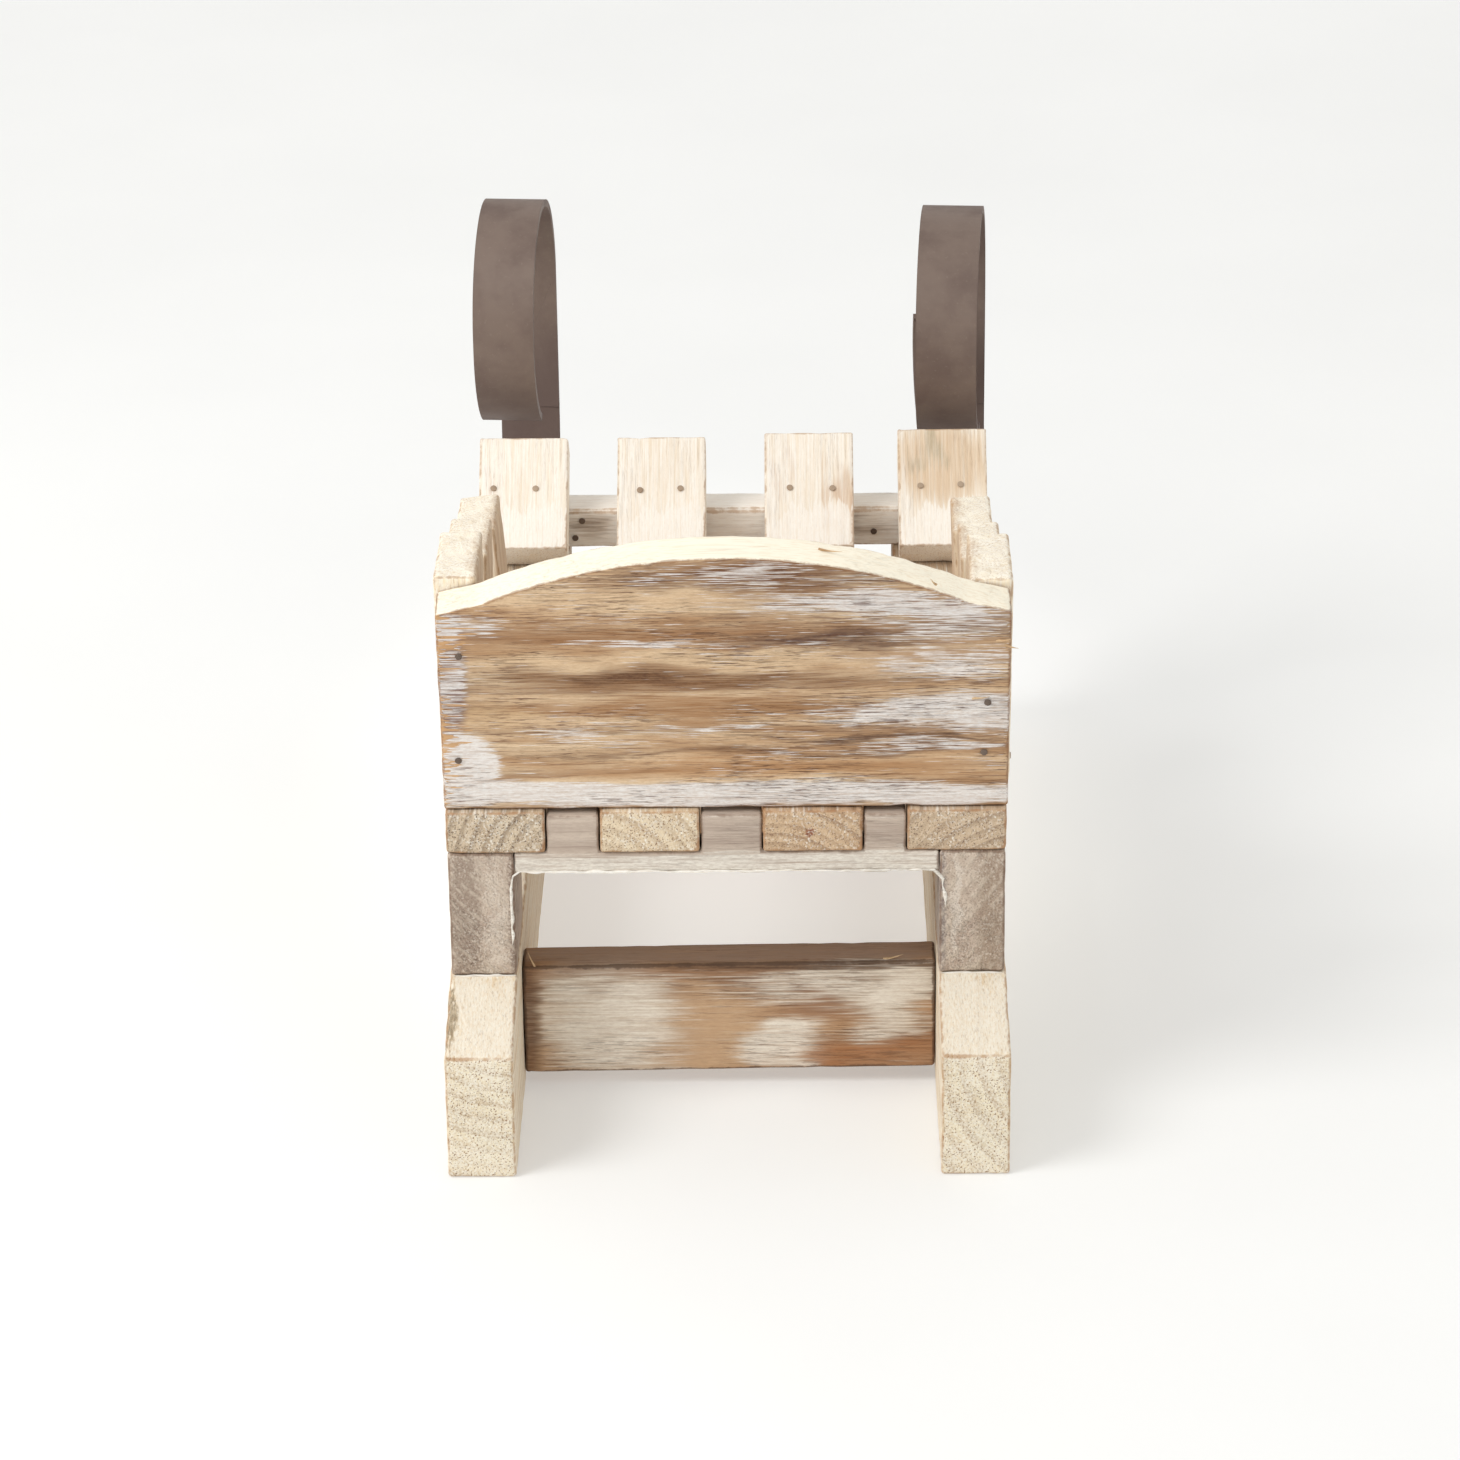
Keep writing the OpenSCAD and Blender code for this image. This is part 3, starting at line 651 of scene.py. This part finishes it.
makeBoard("rearCrossbar", "rear_crossbar", xAxis, rearward, {"seed": 51, "round": 0.0013},
          boardFinish("rearCrossbarWood", {**crossbarFinish, **rearCrossbar}))
makeBoard("frontCrossbar", "front_crossbar", xAxis, rearward, {"seed": 52, "round": 0.0013},
          boardFinish("frontCrossbarWood", crossbarFinish))
print("undercarriage built")

# pickets: pale, worn, brown on the inner faces
picketFinish = {
    "pale": rgb(250, 238, 214), "mid": rgb(236, 216, 184), "dark": rgb(160, 122, 88),
    "wash": rgb(252, 246, 234), "endColour": rgb(253, 245, 226),
    "edgeColour": rgb(178, 140, 102), "edge": 0.32,
    "pith": mm(0, 12, -30), "ringWidth": 0.0042, "rings": 0.12, "pits": 0.35, "cover": 0.45, "grit": 0.06,
}
picketInside = patch((0, 0, -8), (60, 30, 4), colour=(172, 130, 92), strength=0.65, cover=-0.3)
picketPlaces = [(side, place) for side in ("left", "right") for place in ("rear", "middle", "front")]
for index, (side, place) in enumerate(picketPlaces):
    name = f"{side}{place.title()}Picket"
    outer = (-1, 0, 0) if side == "left" else (1, 0, 0)
    makeBoard(name, f"{side}_{place}_picket", zAxis, outer,
              {"seed": 60 + index, "round": 0.0015, "chip": 0.0012},
              boardFinish(name + "Wood", {**picketFinish, "patches": [picketInside]}))
print("pickets built")

# slats of the sloping front and the rail under them
slatFinish = {
    "pale": rgb(248, 236, 216), "mid": rgb(234, 214, 186), "dark": rgb(172, 136, 104),
    "wash": rgb(252, 247, 238), "edgeColour": rgb(184, 150, 116), "edge": 0.26,
    "pith": mm(0, 10, -60), "ringWidth": 0.007, "rings": 0.12, "fibre": 0.07, "bands": 0.4,
    "grit": 0.15, "cracks": 0.2, "cover": 0.58, "brushSoft": 0.2,
    "fray": mm(20, 4, 2), "sway": mm(40, 40, 12),
}
paintLine = patch((-22, 0, 8), (13, 30, 8), cover=0.5, soft=0.1)
slatStains = [
    [patch((10, 16, 8), (20, 2.5, 8), colour=(196, 158, 128), strength=0.6),
     patch((0, 6, 8), (16, 5, 8), colour=(226, 204, 176), strength=0.5)],
    [patch((14, 0, 8), (12, 18, 8), colour=(226, 206, 178), strength=0.6, soft=0.5, tight=True)],
    [patch((-6, -12, 8), (17, 5, 8), colour=(198, 160, 126), strength=0.7, cover=-0.3),
     patch((14, 15, 8), (11, 3, 8), colour=(192, 152, 118), strength=0.6)],
    [patch((10, 0, 8), (18, 20, 8), colour=(214, 184, 150), cover=-0.5, soft=0.4, tight=True),
     patch((16, 4, 8), (5, 9, 8), colour=(168, 158, 132), strength=0.6)],
]
for index, stains in enumerate(slatStains, 1):
    makeBoard(f"frontSlat{index}", f"front_slat_{index}", (0, 1, 1), (0, -1, 1),
              {"seed": 70 + index, "round": 0.0014},
              boardFinish(f"slatWood{index}", {**slatFinish, "patches": [paintLine, *stains]}))
railFinish = {
    **slatFinish, "pale": rgb(250, 242, 230), "mid": rgb(236, 222, 206),
    "wash": rgb(253, 250, 244), "cover": 0.95,
    "patches": [patch((-60, -8, 2), (7, 9, 7), colour=(128, 104, 86), strength=0.75, cover=-0.6),
                patch((55, -8, 1), (8, 9, 7), colour=(132, 108, 90), strength=0.7, cover=-0.55)],
}
makeBoard("frontRail", "front_rail", xAxis, zAxis, {"seed": 80}, boardFinish("railWood", railFinish))
print("sloping front built")


def sweptRing(bm, centre, forward, radius, sides):
    side = forward.cross(Vector((0.3, 0.2, 1))).normalized()
    up = forward.cross(side).normalized()
    turns = [2 * math.pi * k / sides for k in range(sides)]
    return [bm.verts.new(centre + (side * math.cos(a) + up * math.sin(a)) * radius) for a in turns]


def sweepAlong(bm, points, radii, sides=7):
    # a closed tube through the points, with its own radius at each of them
    rings = []
    for i, point in enumerate(points):
        forward = points[min(i + 1, len(points) - 1)] - points[max(i - 1, 0)]
        rings.append(sweptRing(bm, point, forward.normalized(), radii[i], sides))
    for one, two in zip(rings, rings[1:]):
        for k in range(sides):
            bm.faces.new((one[k], one[(k + 1) % sides], two[(k + 1) % sides], two[k]))
    bm.faces.new(rings[0][::-1])
    bm.faces.new(rings[-1])


# paint that ran into the joints, in ragged beads
bead = {
    "radius": 0.0006, "spacing": 0.0008, "ragged": 0.75, "thinnest": 0.18, "taperSteps": 6,
    "lumpSize": 260, "swaySize": 190, "sway": 0.0004, "sunk": 0.0001,
}
beadPaint = {"pale": rgb(238, 234, 224), "mid": rgb(206, 192, 172), "dark": rgb(96, 78, 64),
             "wash": rgb(244, 241, 234), "cover": 0.6, "pits": 0.9, "grit": 0.3, "edge": 0.0}


def makeBead(name, corners, seed):
    points = []
    for a, b in zip(corners, corners[1:]):
        count = max(2, round((b - a).length / bead["spacing"]))
        points += [a.lerp(b, k / count) for k in range(count)]
    points.append(corners[-1])
    radii = []
    for i, point in enumerate(points):
        lump = noise.noise(point * bead["lumpSize"] + Vector((seed, 0, 0)))
        taper = min(1.0, (i + 1) / bead["taperSteps"], (len(points) - i) / bead["taperSteps"])
        radii.append(bead["radius"] * max(bead["thinnest"], 0.75 + bead["ragged"] * lump) * taper)
        points[i] = point + Vector((lump, 0, noise.noise(point * bead["swaySize"]))) * bead["sway"]
    bm = bmesh.new()
    sweepAlong(bm, points, radii)
    bmesh.ops.recalc_face_normals(bm, faces=bm.faces)
    made = addObject(name, bm, Matrix.Identity(4), beadFinish)
    storeValues(made.data, np.zeros(len(made.data.vertices)))


beadFinish = boardFinish("beadPaint", beadPaint)
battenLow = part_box("rear_batten")[0]
leftLeg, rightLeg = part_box("left_rear_leg"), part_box("right_rear_leg")
legBack, battenBack = leftLeg[0].y + bead["sunk"], battenLow.y + bead["sunk"]
innerLeft, innerRight = leftLeg[1].x, rightLeg[0].x
makeBead("battenBead", [  # up the left leg, along under the batten and down the right leg
    Vector((innerLeft - 0.0012, legBack, leftLeg[0].z + 0.012)),
    Vector((innerLeft - 0.0014, legBack, battenLow.z - 0.006)),
    Vector((innerLeft - 0.0004, legBack, battenLow.z - 0.001)),
    Vector((innerLeft + 0.002, battenBack, battenLow.z + 0.0004)),
    Vector((middle, battenBack, battenLow.z + 0.0004)),
    Vector((innerRight - 0.002, battenBack, battenLow.z + 0.0004)),
    Vector((innerRight + 0.0012, legBack, battenLow.z - 0.003)),
    Vector((innerRight + 0.0024, legBack, battenLow.z - 0.014))], 1)
for name, (low, high), seed in (("leftJointBead", leftLeg, 2), ("rightJointBead", rightLeg, 3)):
    makeBead(name, [Vector((low.x + 0.0006, low.y, low.z)), Vector((high.x - 0.0006, low.y, low.z))], seed)

# splinters: the node they stand on, the direction of its grain, and their foot and tip in its own axes
splinters = [
    ("rear_board", xAxis, mm(97, 15.6, 7.8), mm(101.6, 14.6, 8.6)),
    ("rear_board", xAxis, mm(94, 17.4, 7.8), mm(99, 18.6, 9)),
    ("rear_board", xAxis, mm(86, -6.2, 7.8), mm(92, -4.8, 9)),
    ("rear_board", xAxis, mm(33, 48.7, -2), mm(41, 49.4, 1)),
    ("rear_board", xAxis, mm(73, 39, 6), mm(71, 42.8, 8.4)),
    ("rear_crossbar", xAxis, mm(56, 22, 6), mm(63, 24.6, 7.4)),
    ("rear_crossbar", xAxis, mm(-70, 20, 7), mm(-72.5, 26.4, 7.6)),
]
splinterShape = {"radius": 0.0005, "taper": 0.9, "bow": 0.0005, "steps": 6, "sides": 5}
bm = bmesh.new()
for node, along, foot, tip in splinters:
    place = boardAxes(node, along, rearward)
    a, b = place @ Vector(foot), place @ Vector(tip)
    bow = place.to_3x3() @ Vector((0, 0, splinterShape["bow"]))
    parts = [k / splinterShape["steps"] for k in range(splinterShape["steps"] + 1)]
    points = [a.lerp(b, part) + bow * math.sin(math.pi * part) for part in parts]
    radii = [splinterShape["radius"] * (1 - splinterShape["taper"] * part) for part in parts]
    sweepAlong(bm, points, radii, splinterShape["sides"])
bmesh.ops.recalc_face_normals(bm, faces=bm.faces)
splinterWood = {"pale": rgb(224, 196, 156), "mid": rgb(186, 146, 104), "dark": rgb(110, 78, 52),
                "cover": 0.1, "edge": 0.0}
splinterFinish = boardFinish("splinterWood", splinterWood)
madeSplinters = addObject("splinters", bm, Matrix.Identity(4), splinterFinish)
storeValues(madeSplinters.data, np.zeros(len(madeSplinters.data.vertices)))
print("beads and splinters built")

strapSteel = {
    "body": rgb(146, 128, 110), "shade": rgb(120, 102, 86), "rub": rgb(176, 160, 140),
    "edgeColour": rgb(92, 76, 76), "rough": (0.52, 0.7),
    "low": rgb(98, 80, 68), "lowFrom": 0.19, "lowTo": 0.15,  # heights between which it darkens
}


def strapFinish(name, v):
    made = bpy.data.materials.new(name)
    made.use_nodes = True
    tree = made.node_tree
    shader = next(n for n in tree.nodes if n.type == "BSDF_PRINCIPLED")
    coords = tree.nodes.new("ShaderNodeTexCoord").outputs["Object"]
    clouds = noiseOf(tree, coords, (45, 45, 45), 4.0, 0.6)
    specks = noiseOf(tree, coords, (900, 900, 900), 2.0, 0.6)
    body = mixOf(tree, fade(tree, clouds, 0.35, 0.7), v["body"], v["shade"])
    body = mixOf(tree, fade(tree, specks, 0.62, 0.74, 0.0, 0.35), body, v["rub"])
    if "low" in v:  # the foot of each ring is darker
        darker = fade(tree, partsOf(tree, coords)[2], v["lowTo"], v["lowFrom"], 0.8, 0.0)
        body = mixOf(tree, darker, body, v["low"])
    worn = useGroup(tree, edgeWear, {
        "Coords": coords, "Edge": meshValue(tree, "edge"), "Amount": 0.55})["Mask"]
    body = mixOf(tree, times(tree, worn, 0.55), body, v["edgeColour"])
    plug(tree, shader.inputs["Base Color"], body)
    plug(tree, shader.inputs["Roughness"], fade(tree, clouds, 0.3, 0.7, *v["rough"]))
    shader.inputs["Specular IOR Level"].default_value = 0.4
    bump = tree.nodes.new("ShaderNodeBump")
    bump.inputs["Strength"].default_value = 0.35
    bump.inputs["Distance"].default_value = 0.0003
    plug(tree, bump.inputs["Height"], plus(tree, times(tree, specks, 0.4), clouds))
    plug(tree, shader.inputs["Normal"], bump.outputs["Normal"])
    return made


def makeMetal(name, node, finish, shape):
    # strap, nail or screw copied from its CAD node, with eased edges and light dents
    bm = cleanCopy(node)
    edges = sharpEdges(bm, shape["angle"])
    lines = [(np.array(e.verts[0].co), np.array(e.verts[1].co)) for e in edges]
    bmesh.ops.bevel(bm, geom=edges, offset=shape["round"], segments=2, profile=0.5, affect="EDGES",
                    clamp_overlap=True)
    bm.normal_update()
    points = np.array([v.co for v in bm.verts])
    near = np.exp(-((distanceToLines(points, lines) / shape["edgeReach"]) ** 2))
    for vert in bm.verts:
        vert.co -= vert.normal * shape["dent"] * (0.5 + 0.5 * noise.noise(vert.co * shape["dentScale"]))
    made = addObject(name, bm, Matrix.Identity(4), finish)
    storeValues(made.data, near)
    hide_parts(node)


steel = strapFinish("strapPaint", strapSteel)
strapShape = {"angle": 35, "round": 0.0004, "edgeReach": 0.0012, "dent": 0.0002, "dentScale": 55}
makeMetal("leftScroll", "left_scroll", steel, strapShape)
makeMetal("rightScroll", "right_scroll", steel, strapShape)
nailSteel = {"body": rgb(128, 110, 96), "shade": rgb(92, 78, 68), "rub": rgb(168, 144, 120),
             "edgeColour": rgb(88, 74, 64), "rough": (0.45, 0.7)}
paintedNail = {"body": rgb(200, 180, 156), "shade": rgb(156, 132, 108), "rub": rgb(224, 208, 184),
               "edgeColour": rgb(150, 126, 104), "rough": (0.5, 0.75)}
nail, paleNail = strapFinish("nailRust", nailSteel), strapFinish("nailWhitewashed", paintedNail)
nailShape = {"angle": 35, "round": 0.0002, "edgeReach": 0.0006, "dent": 0.00015, "dentScale": 900}
fasteners = {
    "rearBoardNails": ("rear_board_nails", nail), "slatNails": ("slat_nails", paleNail),
    "railNails": ("rail_nails", nail), "picketNails": ("picket_nails", paleNail),
    "crossbarNails": ("crossbar_nails", nail), "strapScrews": ("strap_screws", nail),
}
for name, (node, finish) in fasteners.items():
    makeMetal(name, node, finish, nailShape)
print("steel built")

studio = {
    "behind": 1.61857, "aside": 0.02186, "height": 0.88115,  # camera, from the rear end of the floor
    "aim": (0.0018, 0.1535), "roll": -0.703, "lens": 125.58, "sensor": 36.0,
    "floor": rgb(214, 214, 212), "floorDim": rgb(210, 210, 208), "flatTo": 4.0, "sweep": 0.35,
    "glow": 0.29, "underGlow": 0.27, "farGlow": 0.07, "world": 0.72,
    "keyPower": 19.0, "keySize": 1.0, "keyPlace": (-1.2, -0.75, 1.4), "keyAim": (0, 0, 0.08),
}
camera = bpy.data.objects.new("camera", bpy.data.cameras.new("camera"))
scene.collection.objects.link(camera)
camera.data.lens, camera.data.sensor_width = studio["lens"], studio["sensor"]
camera.data.clip_start, camera.data.clip_end = 0.05, 60.0
camera.location = (middle + studio["aside"], floorRear - studio["behind"], studio["height"])
aim = Vector((middle + studio["aim"][0], floorRear, studio["aim"][1]))
turn = (aim - camera.location).to_track_quat("-Z", "Y").to_matrix().to_4x4()
tilt = Matrix.Rotation(math.radians(studio["roll"]), 4, "Z")
camera.matrix_world = Matrix.Translation(camera.location) @ turn @ tilt
scene.camera = camera

floorMesh = bpy.data.meshes.new("studioFloor")
bm = bmesh.new()
bmesh.ops.create_grid(bm, x_segments=40, y_segments=40, size=7.0)
for vert in bm.verts:  # rises gently far away, like a paper sweep
    far = max(0.0, vert.co.length - studio["flatTo"])
    vert.co.z = studio["sweep"] * far * far
bm.to_mesh(floorMesh)
bm.free()
floorMesh.shade_smooth()
studioFloor = bpy.data.objects.new("studioFloor", floorMesh)
scene.collection.objects.link(studioFloor)
paper = bpy.data.materials.new("studioPaper")
paper.use_nodes = True
tree = paper.node_tree
shader = next(n for n in tree.nodes if n.type == "BSDF_PRINCIPLED")
coords = tree.nodes.new("ShaderNodeTexCoord").outputs["Object"]
clouds = fade(tree, noiseOf(tree, coords, (3, 3, 3)), 0.3, 0.7)
plug(tree, shader.inputs["Base Color"], mixOf(tree, clouds, studio["floor"], studio["floorDim"]))
paintedLightPool = useGroup(tree, paintSpotAndLightPool, {  # painted pool of light: the paper glows brighter under the front half of the sleigh
    "Coords": coords, "Centre": (0.0, 0.15, 0.0), "Reach": (0.11, 0.2, 0.1), "Softness": 0.8})["Mask"]
farGlow = studio["glow"] + studio["farGlow"]
glow = fade(tree, vectorOf(tree, "LENGTH", coords), 0.4, 2.5, studio["glow"], farGlow)
light = plus(tree, glow, times(tree, paintedLightPool, studio["underGlow"]))
plug(tree, shader.inputs["Emission Color"], mixOf(tree, light, (0.0, 0.0, 0.0, 1.0), (1.0, 1.0, 0.99, 1.0)))
shader.inputs["Emission Strength"].default_value = 1.0
shader.inputs["Roughness"].default_value = 0.9
shader.inputs["Specular IOR Level"].default_value = 0.1
floorMesh.materials.append(paper)

world = bpy.data.worlds.new("studioAir")
world.use_nodes = True
world.node_tree.nodes["Background"].inputs[0].default_value = (1.0, 1.0, 1.0, 1.0)
world.node_tree.nodes["Background"].inputs[1].default_value = studio["world"]
scene.world = world


def softBox(name, place, target, size, power):
    lamp = bpy.data.lights.new(name, "AREA")
    lamp.shape, lamp.size, lamp.energy = "DISK", size, power
    made = bpy.data.objects.new(name, lamp)
    scene.collection.objects.link(made)
    made.location = place
    made.rotation_mode = "QUATERNION"
    made.rotation_quaternion = (Vector(target) - Vector(place)).to_track_quat("-Z", "Y")


softBox("keyLight", studio["keyPlace"], studio["keyAim"], studio["keySize"], studio["keyPower"])
scene.view_settings.view_transform = "Standard"
print("studio ready")
